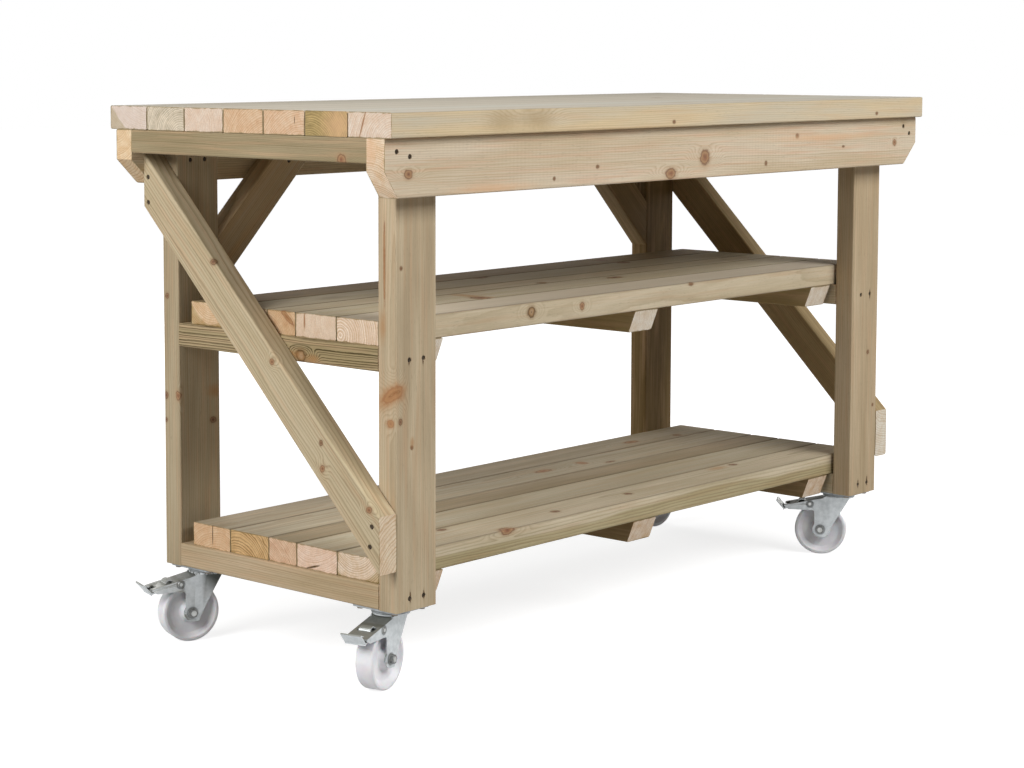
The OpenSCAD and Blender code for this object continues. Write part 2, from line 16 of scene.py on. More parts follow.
import bpy
from mathutils import Euler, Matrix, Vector


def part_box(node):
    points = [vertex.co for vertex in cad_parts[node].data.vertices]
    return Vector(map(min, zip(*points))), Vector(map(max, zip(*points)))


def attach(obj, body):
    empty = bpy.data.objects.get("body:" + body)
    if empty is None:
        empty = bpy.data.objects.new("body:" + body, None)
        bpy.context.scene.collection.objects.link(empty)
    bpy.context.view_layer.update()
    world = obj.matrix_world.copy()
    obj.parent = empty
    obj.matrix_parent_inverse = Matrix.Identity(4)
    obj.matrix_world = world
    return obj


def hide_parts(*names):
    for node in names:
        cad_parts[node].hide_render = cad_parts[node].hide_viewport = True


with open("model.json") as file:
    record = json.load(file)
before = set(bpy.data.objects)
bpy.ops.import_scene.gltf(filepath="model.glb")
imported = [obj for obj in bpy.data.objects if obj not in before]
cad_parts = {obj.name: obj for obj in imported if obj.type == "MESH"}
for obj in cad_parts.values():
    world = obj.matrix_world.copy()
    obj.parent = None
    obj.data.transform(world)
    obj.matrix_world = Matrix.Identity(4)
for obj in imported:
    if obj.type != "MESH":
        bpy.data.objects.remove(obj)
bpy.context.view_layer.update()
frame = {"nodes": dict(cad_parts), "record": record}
record = frame["record"]
MM = 0.001
body_of = {node: body for body, nodes in record["behaviour"]["bodies"].items() for node in nodes}

# %% [markdown]
# ## Camera
#
# The bench is seen from its front left corner, from a little above the top.
# The verticals stay almost upright in the picture, so the camera looks down by
# only a few degrees and its sensor is shifted down, as on a view camera. The
# focal length, the shift and the place belong together: they are what makes
# the sides run to the same vanishing points as on the real bench.

# %% Camera
CAMERA_PLACE = (-3.160, -2.630, 0.975)
CAMERA_TILT = 84.76
CAMERA_TURN = -47.61
CAMERA_LENS = 81.49
CAMERA_SHIFT = (0.0677, -0.1200)

camera_data = bpy.data.cameras.new("camera")
camera_data.lens = CAMERA_LENS
camera_data.sensor_width = 36
camera_data.shift_x, camera_data.shift_y = CAMERA_SHIFT
camera = bpy.data.objects.new("camera", camera_data)
camera.location = CAMERA_PLACE
camera.rotation_euler = Euler((math.radians(CAMERA_TILT), 0, math.radians(CAMERA_TURN)))
bpy.context.scene.collection.objects.link(camera)
bpy.context.scene.camera = camera
print("camera at", CAMERA_PLACE, "with a lens of", CAMERA_LENS, "mm")

# %% [markdown]
# ## Helpers for materials
#
# Colours are written as on a paint card, in sRGB hex, and one function turns
# them into the linear values that the shader works with. A second small
# function adds a node, sets its options, fills or links its sockets and gives
# back one of its outputs. With it a material reads from top to bottom like a
# recipe: what goes in, what comes out.

# %% Colour and node helpers
def linear(code):
    """The linear colour of an sRGB hex code."""
    parts = [int(code[i:i + 2], 16) / 255 for i in (1, 3, 5)]
    return [p / 12.92 if p <= 0.04045 else ((p + 0.055) / 1.055) ** 2.4 for p in parts] + [1.0]


def grey(level):
    """A neutral linear colour."""
    return [level, level, level, 1.0]


def add_node(tree, kind, options={}, inputs={}, out=0, stops=()):
    """Adds a node with its options, socket values or links and colour stops; returns an output."""
    node = tree.nodes.new("ShaderNode" + kind)
    for name, value in options.items():
        setattr(node, name, value)
    for key, value in inputs.items():
        if isinstance(value, bpy.types.NodeSocket):
            tree.links.new(value, node.inputs[key])
        else:
            node.inputs[key].default_value = value
    for i, (place, colour) in enumerate(stops):
        band = node.color_ramp.elements
        element = band[i] if i < len(band) else band.new(place)
        element.position = place
        element.color = colour
    return node.outputs[out] if len(node.outputs) else node


def new_material(name):
    """An empty node material and its tree."""
    material = bpy.data.materials.new(name)
    material.use_nodes = True
    material.node_tree.nodes.clear()
    return material, material.node_tree


MULTIPLY, ADD, SUBTRACT = {"operation": "MULTIPLY"}, {"operation": "ADD"}, {"operation": "SUBTRACT"}
MULTIPLY_ADD, ABSOLUTE = {"operation": "MULTIPLY_ADD"}, {"operation": "ABSOLUTE"}
MINIMUM, MAXIMUM = {"operation": "MINIMUM"}, {"operation": "MAXIMUM"}
LENGTH, DOT = {"operation": "LENGTH"}, {"operation": "DOT_PRODUCT"}
COLOURS = {"data_type": "RGBA"}
DARKEN = {"data_type": "RGBA", "blend_type": "MULTIPLY"}
SMOOTH = {"interpolation_type": "SMOOTHSTEP"}
print("helpers ready; mid grey is", round(linear("#808080")[0], 3))

# %% [markdown]
# ## Treated softwood
#
# The timber is planed spruce or pine, pressure treated. What the eye reads
# is the annual rings: pale early wood and a darker line of late wood every
# three to four millimetres. On a long face they run as nearly straight lines,
# on a sawn end they are arcs around the pith. One solid texture gives both:
# rings around a long axis that lies near each board and is tilted by a degree
# or less. Fine fibre streaks lie over it, stretched along the grain. Sawn
# ends are paler and pinker, with a thin olive rim where the treatment went
# in, and some boards show the greenish sapwood that lay under the bark.
#
# Knots are branches that the saw cut through. Each is an ellipsoid at its own
# place: brown inside, with a dark bark ring, and it pushes the rings aside.

# %% Timber values
# Distance between late wood lines, on average
RING_SPACING = 3.4 * MM
# A wave texture's rings repeat every 2 pi / 20 units at a scale of 1
WAVE_PERIOD = 2 * math.pi / 20
# Runs of wide and of narrow years, out from the pith
YEARS = 11 * MM
# One fibre streak, across and along. Real fibres are finer than a picture shows
FIBRE = (1.1 * MM, 80 * MM)
# Slow changes of tint along a board, reddish streaks, and changes of the rings' course
PATCH = (30 * MM, 300 * MM)
BLUSH = (7 * MM, 170 * MM)
WANDER = (70 * MM, 480 * MM)
# How far the years and the wander move the lines, as a phase of the wave
YEAR_PHASE, WANDER_PHASE = 9.0, 24.0
# Small dark resin ducts
DUCT = (0.9 * MM, 14 * MM)
# Clouds and speckle of a sawn end
CLOUD = (14 * MM, 60 * MM)
PORE = (1.8 * MM, 40 * MM)
# Ripples that a planer leaves across the grain, and the height of all relief
RIPPLE, RELIEF = 9 * MM, 0.25 * MM
# Where the pith lies from the middle of a board if nothing else is said: off the wide
# face and to one side of it, so that the lines run fine and parallel
PITH_OFF, PITH_ASIDE = (12 * MM, 45 * MM), (50 * MM, 105 * MM)
# The pith's lean against the board, in radians
LEAN = 0.010
# Depth of the olive rim around a sawn end, how ragged it is, and the reach of the painted shade by a joint
RIM_DEPTH, RAGGED, GROOVE = 1.8 * MM, 5 * MM, 5 * MM
# The sapwood's edge: how far it wanders, and how wide it is
SAP_WANDER, SAP_EDGE = 26 * MM, 3 * MM
# Lumps in the outline of a mark, and how much of its radius they take or give
LUMP, LUMP_SHARE = 7 * MM, 0.7
# Radii over which a knot pushes the rings, across the grain and the more along it, and how hard
PUSH_ACROSS, PUSH_ALONG, PUSH_PHASE = 2.0, 2.6, 1.5
# The grey of upward faces, partly weathering and partly a painted sheen; the painted shade in the joints
# between boards; the sapwood's tint
WEAR_AND_SHEEN_GREY, JOINT_SHADE, SAP_TINT = "#B6B0A3", "#5A4E3C", "#DAD8C2"
print("a late wood line every", round(RING_SPACING / MM, 1), "mm, fibres", round(FIBRE[0] / MM, 1), "mm wide")

# %% [markdown]
# ### Streaks and rings
#
# Wood is drawn in a space of its own, in which Z runs along the pith. Noise
# that is stretched along Z gives streaks, and the distance from Z gives the
# rings. The lines of a wave texture stand for the late wood. Two noises move
# its phase, one by the year and one by the place along the board, so that the
# lines are uneven and wander as in a real log.

# %% Streaks along the grain
def streaks(tree, grain, size, detail=2.0, roughness=0.55):
    """Noise with streaks of a size across and along the grain."""
    scale = (1 / size[0], 1 / size[0], 1 / size[1])
    stretched = add_node(tree, "VectorMath", MULTIPLY, {0: grain, 1: scale})
    return add_node(tree, "TexNoise", inputs={
        "Vector": stretched, "Scale": 1.0, "Detail": detail, "Roughness": roughness})


def grain_space(tree, place, centre, axis, look, seed):
    """Places seen from the pith, which runs along the piece, off its wide face, and leans a little."""
    tilt = Euler((seed.uniform(-LEAN, LEAN), seed.uniform(-LEAN, LEAN), 0)).to_matrix()
    turn = (Vector((0, 0, 1)).rotation_difference(axis).to_matrix() @ tilt).to_euler()
    off_face = Vector(look["wide"])
    aside = off_face.cross(axis)
    pith = off_face * seed.choice((-1, 1)) * seed.uniform(*PITH_OFF)
    pith += aside * seed.choice((-1, 1)) * seed.uniform(*PITH_ASIDE)
    if "pith" in look:
        pith = (aside * look["pith"][0] + off_face * look["pith"][1]) * MM
    return add_node(tree, "Mapping", {"vector_type": "TEXTURE"}, {
        "Vector": place, "Location": centre + pith, "Rotation": turn})


# %% Rings and the marks that push them
def mark_distance(tree, place, spot, radii, turn):
    """Distance from the middle of an ellipsoid, which is 1 on its surface."""
    local = add_node(tree, "Mapping", {"vector_type": "TEXTURE"}, {
        "Vector": place, "Location": Vector(spot) * MM, "Rotation": turn, "Scale": radii})
    return add_node(tree, "VectorMath", LENGTH, {0: local}, "Value")


def rings_and_marks(tree, place, grain, axis, look, marks):
    """The late wood lines, the distance from the pith and that from each mark."""
    flat = add_node(tree, "VectorMath", MULTIPLY, {0: grain, 1: (1, 1, 0)})
    radius = add_node(tree, "VectorMath", LENGTH, {0: flat}, "Value")
    years = add_node(tree, "TexNoise", {"noise_dimensions": "1D"}, {
        "W": radius, "Scale": 1 / YEARS, "Detail": 2.0})
    phase = add_node(tree, "Math", MULTIPLY, {0: streaks(tree, grain, WANDER, 3.0), 1: WANDER_PHASE})
    phase = add_node(tree, "Math", MULTIPLY_ADD, {0: years, 1: YEAR_PHASE, 2: phase})

    # Every knot pushes the lines aside, further along the grain than across it
    distances = []
    lumps = add_node(tree, "TexNoise", inputs={"Vector": place, "Scale": 1 / LUMP, "Detail": 2.0})
    lumps = add_node(tree, "Math", MULTIPLY_ADD, {0: lumps, 1: LUMP_SHARE, 2: -LUMP_SHARE / 2})
    for kind, spot, radii, *angle in marks:
        turn = [math.radians(a) for a in (angle[0] if angle else (0, 0, 0))]
        distance = mark_distance(tree, place, spot, Vector(radii) * MM, turn)
        distances.append((kind, add_node(tree, "Math", ADD, {0: distance, 1: lumps})))
        if kind in ("knot", "ring", "swirl", "burl"):
            reach = [r * MM * (PUSH_ACROSS + PUSH_ALONG * abs(a)) for r, a in zip(radii, axis)]
            spread = mark_distance(tree, place, spot, reach, turn)
            push = add_node(tree, "MapRange", {"interpolation_type": "SMOOTHERSTEP"}, {
                "Value": spread, "From Min": 0.1, "From Max": 1.15, "To Min": 1.0, "To Max": 0.0})
            phase = add_node(tree, "Math", MULTIPLY_ADD, {
                0: push, 1: PUSH_PHASE * max(radii), 2: phase})

    rings = add_node(tree, "TexWave", {
        "wave_type": "RINGS", "rings_direction": "Z", "wave_profile": "SAW"}, {
        "Vector": grain, "Scale": WAVE_PERIOD / (RING_SPACING * look.get("rings", 1.0)),
        "Distortion": 0.6, "Detail": 2.0, "Detail Scale": 1.0, "Phase Offset": phase}, "Fac")
    late = add_node(tree, "ValToRGB", inputs={"Fac": rings}, stops=(
        (0.0, grey(0.12)), (0.4, grey(0.0)), (0.82, grey(0.8)), (0.93, grey(1.0)), (1.0, grey(0.12))))
    # Some years have stronger late wood than others
    strong = add_node(tree, "MapRange", {}, {
        "Value": years, "From Min": 0.35, "From Max": 0.65, "To Min": 0.55, "To Max": 1.25})
    late = add_node(tree, "Math", MULTIPLY, {0: late, 1: strong})
    return late, radius, distances


# %% [markdown]
# ### Long faces and sawn ends
#
# The same rings look unlike on the two kinds of face. A long face is beige,
# with soft lines, fibres and small ducts, and greys where it looks up: partly
# weathering, partly a painted sheen. A sawn end drinks more light: it is paler,
# its arcs are crisper, and the treatment shows as a rim. So each kind is mixed
# on its own, and the direction of the face against the grain chooses between them.

# %% Colour of the long faces
def long_face(tree, grain, late, fibre, look):
    """A slow change of tint, reddish streaks, ring lines, fibre streaks and resin ducts."""
    broad = add_node(tree, "ValToRGB", inputs={"Fac": streaks(tree, grain, PATCH)}, stops=(
        (0.34, linear(look["pale"])), (0.66, linear(look["deep"]))))
    blush = add_node(tree, "ValToRGB", inputs={"Fac": streaks(tree, grain, BLUSH)}, stops=(
        (0.48, grey(0.0)), (0.70, grey(look["blush"]))))
    face = add_node(tree, "Mix", COLOURS, {0: blush, 6: broad, 7: linear(look["warm"])}, 2)
    lines = add_node(tree, "Math", MULTIPLY, {0: late, 1: look["line"]})
    face = add_node(tree, "Mix", COLOURS, {0: lines, 6: face, 7: linear(look["late"])}, 2)
    shade = add_node(tree, "ValToRGB", inputs={"Fac": fibre}, stops=(
        (0.28, grey(1 - look["fibre"])), (0.70, grey(1 + look["fibre"] / 2))))
    face = add_node(tree, "Mix", DARKEN, {0: 1.0, 6: face, 7: shade}, 2)
    duct = add_node(tree, "ValToRGB", inputs={"Fac": streaks(tree, grain, DUCT, 1.0)}, stops=(
        (0.27, grey(1 - 2 * look["fibre"])), (0.34, grey(1.0))))
    return add_node(tree, "Mix", DARKEN, {0: 1.0, 6: face, 7: duct}, 2)


def wear_sheen_and_joint_shade(tree, face, facing, sides, look):
    """The long faces, greyed where they look up (partly weathering, partly a painted sheen), with painted
    shade along the joints between boards.
    """
    # Faces that look up go grey: partly weathering, partly a painted sheen, and a darker grey on some rear
    # boards as painted shade
    upward = add_node(tree, "VectorMath", DOT, {0: facing, 1: (0, 0, 1)}, "Value")
    greyed = add_node(tree, "MapRange", SMOOTH, {
        "Value": upward, "From Min": 0.5, "From Max": 0.9, "To Min": 0.0, "To Max": look.get("greyed", 0.0)})
    face = add_node(tree, "Mix", COLOURS, {0: greyed, 6: face, 7: linear(look.get("worn", WEAR_AND_SHEEN_GREY))}, 2)
    if "groove" not in look:
        return face
    # Painted shade in the grooves between boards, on faces that look up
    joint = add_node(tree, "MapRange", SMOOTH, {
        "Value": sides["Y"], "From Min": 0.5 * MM, "From Max": GROOVE, "To Min": look["groove"],
        "To Max": 0.0})
    joint = add_node(tree, "Math", {"operation": "MULTIPLY", "use_clamp": True}, {0: joint, 1: upward})
    return add_node(tree, "Mix", COLOURS, {0: joint, 6: face, 7: linear(JOINT_SHADE)}, 2)


# %% Colour of the sawn ends
def sawn_end(tree, grain, late, sides, axis, look):
    """Clouds, arcs and speckle, with an olive rim where the treatment went in."""
    clouds = streaks(tree, grain, CLOUD, 3.0, 0.6)
    end = add_node(tree, "ValToRGB", inputs={"Fac": clouds}, stops=(
        (0.36, linear(look["end"])), (0.68, linear(look["end_deep"]))))
    arcs = add_node(tree, "Math", MULTIPLY, {0: late, 1: look.get("arc", 0.75)})
    end = add_node(tree, "Mix", COLOURS, {0: arcs, 6: end, 7: linear(look["end_late"])}, 2)
    speckle = add_node(tree, "ValToRGB", inputs={"Fac": streaks(tree, grain, PORE)}, stops=(
        (0.3, grey(0.88)), (0.7, grey(1.06))))
    end = add_node(tree, "Mix", DARKEN, {0: 1.0, 6: end, 7: speckle}, 2)
    # Only the directions across the grain count towards the rim
    depths = [sides[i] for i in range(3) if abs(axis[i]) < 0.3]
    depth = depths[0] if len(depths) == 1 else add_node(tree, "Math", MINIMUM, {0: depths[0], 1: depths[1]})
    ragged = add_node(tree, "Math", MULTIPLY_ADD, {0: clouds, 1: -RAGGED, 2: RAGGED / 2})
    depth = add_node(tree, "Math", ADD, {0: depth, 1: ragged})
    rim = add_node(tree, "MapRange", SMOOTH, {
        "Value": depth, "From Min": 0.3 * RIM_DEPTH, "From Max": RIM_DEPTH, "To Min": 0.8, "To Max": 0.0})
    return add_node(tree, "Mix", COLOURS, {0: rim, 6: end, 7: linear(look["rim"])}, 2)


# %% [markdown]
# ### Sapwood, knots and other marks
#
# These go through the whole piece, so they lie over long faces and ends alike.
# Each mark glows into the wood around it, and a knot has a body with a heart
# and a bark ring as well. Streaks and stains have the glow alone.

# %% Marks
# For each kind of mark: the colours of its heart, of its glow and of its bark ring, then the
# share of the glow and that of the body
MARK_COLOURS = {
    "knot": ("#8F6248", "#A5825F", "#6A4433", 0.45, 0.85),
    "ring": ("#A98C6C", "#8F6F4B", "#3F2A1A", 0.55, 0.90),
    "pin": ("#744E3B", "#927355", "#553A2B", 0.50, 0.85),
    "resin": ("#9E7448", "#A87A4C", "#94592F", 0.60, 0.0),
    "seam": ("#94633F", "#A77F57", "#7F5034", 0.35, 0.80),
    "stain": ("#A88A62", "#A58C66", "#A28257", 0.50, 0.0),
    "burl": ("#A2734C", "#AC7E55", "#956543", 0.50, 0.75),
    "shade": ("#6F6350", "#6F6350", "#6F6350", 0.45, 0.0),
    "flush": ("#DDB08A", "#D9AE86", "#DDAE84", 0.60, 0.0),
    "crack": ("#40311F", "#7A6248", "#40311F", 0.35, 0.95),
    "swirl": ("#A08A68", "#A08A68", "#A08A68", 0.30, 0.0),
}
# Where a glow and a body fade out, in radii of the mark
GLOW_END, BODY_START, BODY_END = 1.9, 0.82, 1.2


def sapwood(tree, colour, grain, radius, look):
    """Greenish sapwood, past a distance from the pith."""
    edge = add_node(tree, "Math", MULTIPLY_ADD, {
        0: streaks(tree, grain, WANDER, 2.0), 1: SAP_WANDER, 2: radius})
    sap = add_node(tree, "MapRange", SMOOTH, {
        "Value": edge, "From Min": look["sap"] * MM, "From Max": look["sap"] * MM + SAP_EDGE,
        "To Min": 0.0, "To Max": 0.8})
    tint = add_node(tree, "Mix", DARKEN, {0: 1.0, 6: colour, 7: linear(SAP_TINT)}, 2)
    return add_node(tree, "Mix", COLOURS, {0: sap, 6: colour, 7: tint}, 2)


def marked(tree, colour, kind, distance):
    """A knot, streak, stain or crack over the wood's colour."""
    heart, glow, bark, share, solid = MARK_COLOURS[kind]
    near = add_node(tree, "MapRange", SMOOTH, {
        "Value": distance, "From Min": 0.8 if solid else 0.1, "From Max": GLOW_END,
        "To Min": share, "To Max": 0.0})
    colour = add_node(tree, "Mix", COLOURS, {0: near, 6: colour, 7: linear(glow)}, 2)
    if not solid:
        return colour
    body = add_node(tree, "MapRange", SMOOTH, {
        "Value": distance, "From Min": BODY_START, "From Max": BODY_END, "To Min": solid, "To Max": 0.0})
    shades = add_node(tree, "ValToRGB", inputs={"Fac": distance}, stops=(
        (0.0, linear(bark)), (0.3, linear(heart)), (0.68, linear(glow)), (0.95, linear(bark))))
    return add_node(tree, "Mix", COLOURS, {0: body, 6: colour, 7: shades}, 2)


print(len(MARK_COLOURS), "kinds of mark")

# %% [markdown]
# ### The finished softwood
#
# The timber is matt, so its gloss is low, and denser fibres shine a little
# more. Late wood stands a hair proud of the early wood, since it wears less
# under the planer, and the planer itself leaves ripples.

# %% A material for one piece of timber
def timber(name, node, axis, look, marks):
    """Treated softwood for one piece, with its grain along axis."""
    seed = random.Random(name)
    material, tree = new_material(name)
    low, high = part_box(node)
    centre = (low + high) / 2
    grain_axis = Vector(axis)
    place = add_node(tree, "TexCoord", out="Object")
    facing = place.node.outputs["Normal"]

    # How deep a point lies inside the piece's box, from each side
    offset = add_node(tree, "VectorMath", SUBTRACT, {0: place, 1: centre})
    offset = add_node(tree, "VectorMath", ABSOLUTE, {0: offset})
    inside = add_node(tree, "VectorMath", SUBTRACT, {0: (high - low) / 2, 1: offset})
    sides = add_node(tree, "SeparateXYZ", inputs={0: inside}).node.outputs

    grain = grain_space(tree, place, centre, grain_axis, look, seed)
    late, radius, distances = rings_and_marks(tree, place, grain, axis, look, marks)
    fibre = streaks(tree, grain, FIBRE, 4.0, 0.65)
    face = wear_sheen_and_joint_shade(tree, long_face(tree, grain, late, fibre, look), facing, sides, look)
    end = sawn_end(tree, grain, late, sides, axis, look)
    cut = add_node(tree, "VectorMath", DOT, {0: facing, 1: grain_axis}, "Value")
    cut = add_node(tree, "Math", ABSOLUTE, {0: cut})
    is_end = add_node(tree, "MapRange", SMOOTH, {"Value": cut, "From Min": 0.35, "From Max": 0.6})
    colour = add_node(tree, "Mix", COLOURS, {0: is_end, 6: face, 7: end}, 2)
    if "sap" in look:
        colour = sapwood(tree, colour, grain, radius, look)
    for kind, distance in distances:
        colour = marked(tree, colour, kind, distance)

    height = add_node(tree, "Math", MULTIPLY, {0: late, 1: 0.5})
    height = add_node(tree, "Math", MULTIPLY_ADD, {0: fibre, 1: 0.6, 2: height})
    ripple = add_node(tree, "TexWave", {"bands_direction": "Z"}, {
        "Vector": grain, "Scale": WAVE_PERIOD / RIPPLE, "Distortion": 0.4}, "Fac")
    height = add_node(tree, "Math", MULTIPLY_ADD, {0: ripple, 1: look.get("ripple", 0.15), 2: height})
    bump = add_node(tree, "Bump", inputs={"Height": height, "Strength": 0.4, "Distance": RELIEF})
    rough = add_node(tree, "ValToRGB", inputs={"Fac": fibre}, stops=((0.3, grey(0.78)), (0.7, grey(0.62))))
    shader = add_node(tree, "BsdfPrincipled", inputs={
        "Base Color": colour, "Roughness": rough, "Normal": bump, "IOR": 1.5, "Specular IOR Level": 0.12})
    add_node(tree, "OutputMaterial", inputs={"Surface": shader})
    return material


# %% [markdown]
# ## Softened copies of the construction
#
# The construction's meshes are exact but their edges are perfectly sharp and
# their triangles are loose. A real board has lightly broken edges at its sawn
# ends, and pressed sheet has a small bend radius. So each piece is copied, its
# triangles are merged and joined into flat faces, and a narrow bevel is put
# on every sharp edge. The copy stands for the node and rides on its body.

# %% Copy helper
# Corners closer than this are one corner, and faces that turn by less are one face
SAME_PLACE, SAME_PLANE = 0.01 * MM, math.radians(0.6)
# An edge that turns by more than this is a real edge
SHARP = math.radians(35)
BEVEL_SEGMENTS = 2


def softened(node, name, width, material):
    """A copy of a node with merged faces and bevelled edges, riding in its place."""
    mesh = frame["nodes"][node].data.copy()
    mesh.materials.clear()
    mesh.materials.append(material)
    piece = bpy.data.objects.new(name, mesh)
    bpy.context.scene.collection.objects.link(piece)
    bpy.ops.object.select_all(action="DESELECT")
    piece.select_set(True)
    bpy.context.view_layer.objects.active = piece
    bpy.ops.object.mode_set(mode="EDIT")
    bpy.ops.mesh.select_all(action="SELECT")
    bpy.ops.mesh.remove_doubles(threshold=SAME_PLACE)
    bpy.ops.mesh.dissolve_limited(angle_limit=SAME_PLANE)
    bpy.ops.object.mode_set(mode="OBJECT")
    bevel = piece.modifiers.new("bevel", "BEVEL")
    bevel.width = width
    bevel.segments = BEVEL_SEGMENTS
    bevel.limit_method = "ANGLE"
    bevel.angle_limit = SHARP
    bpy.ops.object.modifier_apply(modifier="bevel")
    bpy.ops.object.shade_smooth_by_angle(angle=SHARP)
    if "wheel" not in node:
        # Flat faces stay flat up to their bevels
        piece.modifiers.new("flat faces", "WEIGHTED_NORMAL").keep_sharp = True
        bpy.ops.object.modifier_apply(modifier="flat faces")
    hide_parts(node)
    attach(piece, body_of[node])
    return piece


# %% [markdown]
# ## The timber pieces
#
# Every board came from its own log, so each gets its own rings and tint. The
# looks below are the few tints seen on the bench: greenish beige on upright
# faces, greyer on the boards that face up (partly weathering, partly a painted
# sheen), and pinkish, straw or olive ends. The pieces deep inside the bench and
# under its top, and the rear boards of the top and of the upper shelf, are tinted
# darker than their wood, as painted shade.
# A look may also say where the pith lies, in millimetres from the middle of the
# piece, along its width and then off its wide face. That decides how the arcs
# run on its end and how close the lines lie on each face.

# %% Timber looks
UPRIGHT = {"pale": "#C7B698", "deep": "#B4A181", "warm": "#C4A280", "late": "#88714C", "line": 0.42,
           "fibre": 0.10, "blush": 0.45, "end": "#EAD6BE", "end_deep": "#DEC2A2", "end_late": "#BE966C",
           "rim": "#8C7B57"}
TOP = {"pale": "#DAC9AE", "deep": "#CDBB9A", "warm": "#D3B48E", "late": "#A68B64", "line": 0.40,
       "fibre": 0.08, "blush": 0.40, "greyed": 0.82, "groove": 0.35, "end": "#EBD8C6", "end_deep": "#E0C7AD",
       "end_late": "#C29B76", "rim": "#8A7B58"}
SHELF = {"pale": "#C6B99E", "deep": "#B3A587", "warm": "#BFA181", "late": "#7F6A45", "line": 0.45,
         "fibre": 0.11, "blush": 0.45, "greyed": 0.20, "worn": "#B0A692", "groove": 0.75, "end": "#E6D0B8",
         "end_deep": "#DCBC98", "end_late": "#BC9064", "rim": "#85744E"}

PIECE_LOOKS = {
    # The rear boards of the top grey to darker tones than the front ones: painted shade
    "top_board_7": {"end": "#DCCEC3", "end_deep": "#D3C2B3", "end_late": "#CDB4A0", "pith": (-45, 90),
                    "sap": 133, "worn": "#A59F93"},
    "top_board_6": {"end": "#C9B9A1", "end_deep": "#A99B84", "end_late": "#EFE4D0", "pith": (-34, -34),
                    "worn": "#AEA89B"},
    "top_board_5": {"end": "#DECEBD", "end_deep": "#D6BFA9", "end_late": "#C9A487", "pith": (70, -22)},
    "top_board_4": {"end": "#D9BE9F", "end_deep": "#CFAB89", "end_late": "#B98C64", "pith": (-45, -50)},
    "top_board_3": {"end": "#DBC1A4", "end_deep": "#D3AE8C", "end_late": "#B98E6B", "pith": (-30, -58)},
    "top_board_2": {"end": "#A38C5E", "end_deep": "#8B784F", "end_late": "#E2C588", "pith": (30, -40),
                    "arc": 0.5, "worn": "#B8B6AC"},
    "top_board_1": {"end": "#DFD1C1", "end_deep": "#D6BFA8", "end_late": "#C9A283", "pith": (-50, -35)},
    # The rear boards of the upper shelf are tinted and greyed darker: painted shade under the top
    "upper_shelf_5": {"end": "#DBC2A1", "end_deep": "#D1AF89", "pith": (-8, 42), "sap": 72, "greyed": 0.5,
                      "pale": "#A99675", "deep": "#998663", "worn": "#7A6850"},
    "upper_shelf_4": {"greyed": 0.45, "worn": "#9A8F7C"},
    "upper_shelf_3": {"end": "#D2B592", "end_deep": "#C5A079", "end_late": "#B5865B", "pith": (50, -40)},
    "upper_shelf_2": {"end": "#DCC9B2", "end_deep": "#D3BBA1", "end_late": "#CFAA8E", "pith": (80, 20),
                      "rings": 0.8},
    "upper_shelf_1": {"end": "#D5B89B", "end_deep": "#CBAA89", "end_late": "#F4E8D8", "pith": (31, -4),
                      "rings": 1.3, "pale": "#CDBFA5", "deep": "#C0B093", "line": 0.25, "greyed": 0.6,
                      "worn": "#B4AB9C"},
    "lower_shelf_5": {"end": "#D9BB98", "end_deep": "#D0AA85", "end_late": "#C2946A", "pith": (-10, -70),
                      "pale": "#B0A38C", "deep": "#9E9076"},
    "lower_shelf_4": {"end": "#D8B483", "end_deep": "#C8A372", "end_late": "#83633A", "pith": (30, -48),
                      "arc": 0.9, "rings": 1.3, "pale": "#B2A790", "deep": "#A0937A"},
    "lower_shelf_3": {"end": "#DEC0A2", "end_deep": "#D0A98A", "end_late": "#AE8464", "pith": (60, -60),
                      "pale": "#A19278", "deep": "#8F8062", "worn": "#8E816F"},
    "lower_shelf_2": {"end": "#E8D0BC", "end_deep": "#DEBEA4", "end_late": "#CBA588", "pith": (10, 80)},
    "lower_shelf_1": {"pale": "#D3C5AB", "deep": "#BFB193", "end": "#E4D2BD", "end_deep": "#D9C0A3",
                      "end_late": "#A98053", "pith": (12, 40), "sap": 78},
    "front_apron": {"pale": "#D6C7AF", "deep": "#C8B698", "warm": "#D3AE90", "late": "#A1815F", "line": 0.36,
                    "blush": 0.60, "ripple": 1.0, "end": "#EAD7BE", "end_deep": "#E0C09C"},
    "rear_apron": {"pale": "#D2C2A6", "deep": "#C4B291", "end": "#E8D2B0", "end_deep": "#DDBD94"},
    "left_end_brace": {"pale": "#C6B799", "deep": "#B8A786", "late": "#857050", "rings": 1.35, "line": 0.55,
                       "end": "#E3D2B8", "end_deep": "#D8C0A2"},
    "upper_left_rail": {"pale": "#B7A582", "deep": "#A08E69", "late": "#43371F", "line": 0.95, "rings": 1.1,
                        "pith": (12, -75)},
    "left_top_rail": {"pale": "#A69779", "deep": "#978869", "late": "#6F5C3A", "rings": 0.8,
                      "pith": (10, 85)},
    "lower_left_rail": {"pale": "#C6B194", "deep": "#B39E7E", "late": "#8A7249", "pith": (15, -70)},
    "rear_left_leg": {"pale": "#B9AA8E", "deep": "#A6967A"},
    # The rear right leg is tinted darker than its wood: painted shade inside the bench
    "rear_right_leg": {"pale": "#866F48", "deep": "#745E39"},
    "front_left_leg": {"pale": "#C8B79A", "deep": "#AF9D81", "rings": 0.9},
    # The right end's braces and the bearers under the shelves have their long faces tinted darker than their
    # wood: painted shade under the top and the shelves
    "right_end_brace": {"pale": "#B6A17A", "deep": "#A58E68", "end": "#E6E0D2", "end_deep": "#DACBB4",
                        "end_late": "#C6AE90"},
    "right_knee_brace": {"pale": "#9E8762", "deep": "#8F7853"},
    "lower_bearers": {"pale": "#A28962", "deep": "#937A53"},
    "upper_bearers": {"pale": "#AC976C", "deep": "#9C865B", "end": "#ECE4D6", "end_deep": "#E0CFB7",
                      "end_late": "#C9AE90"},
    "front_right_leg": {"pale": "#C5B193", "deep": "#B29E7F"},
}
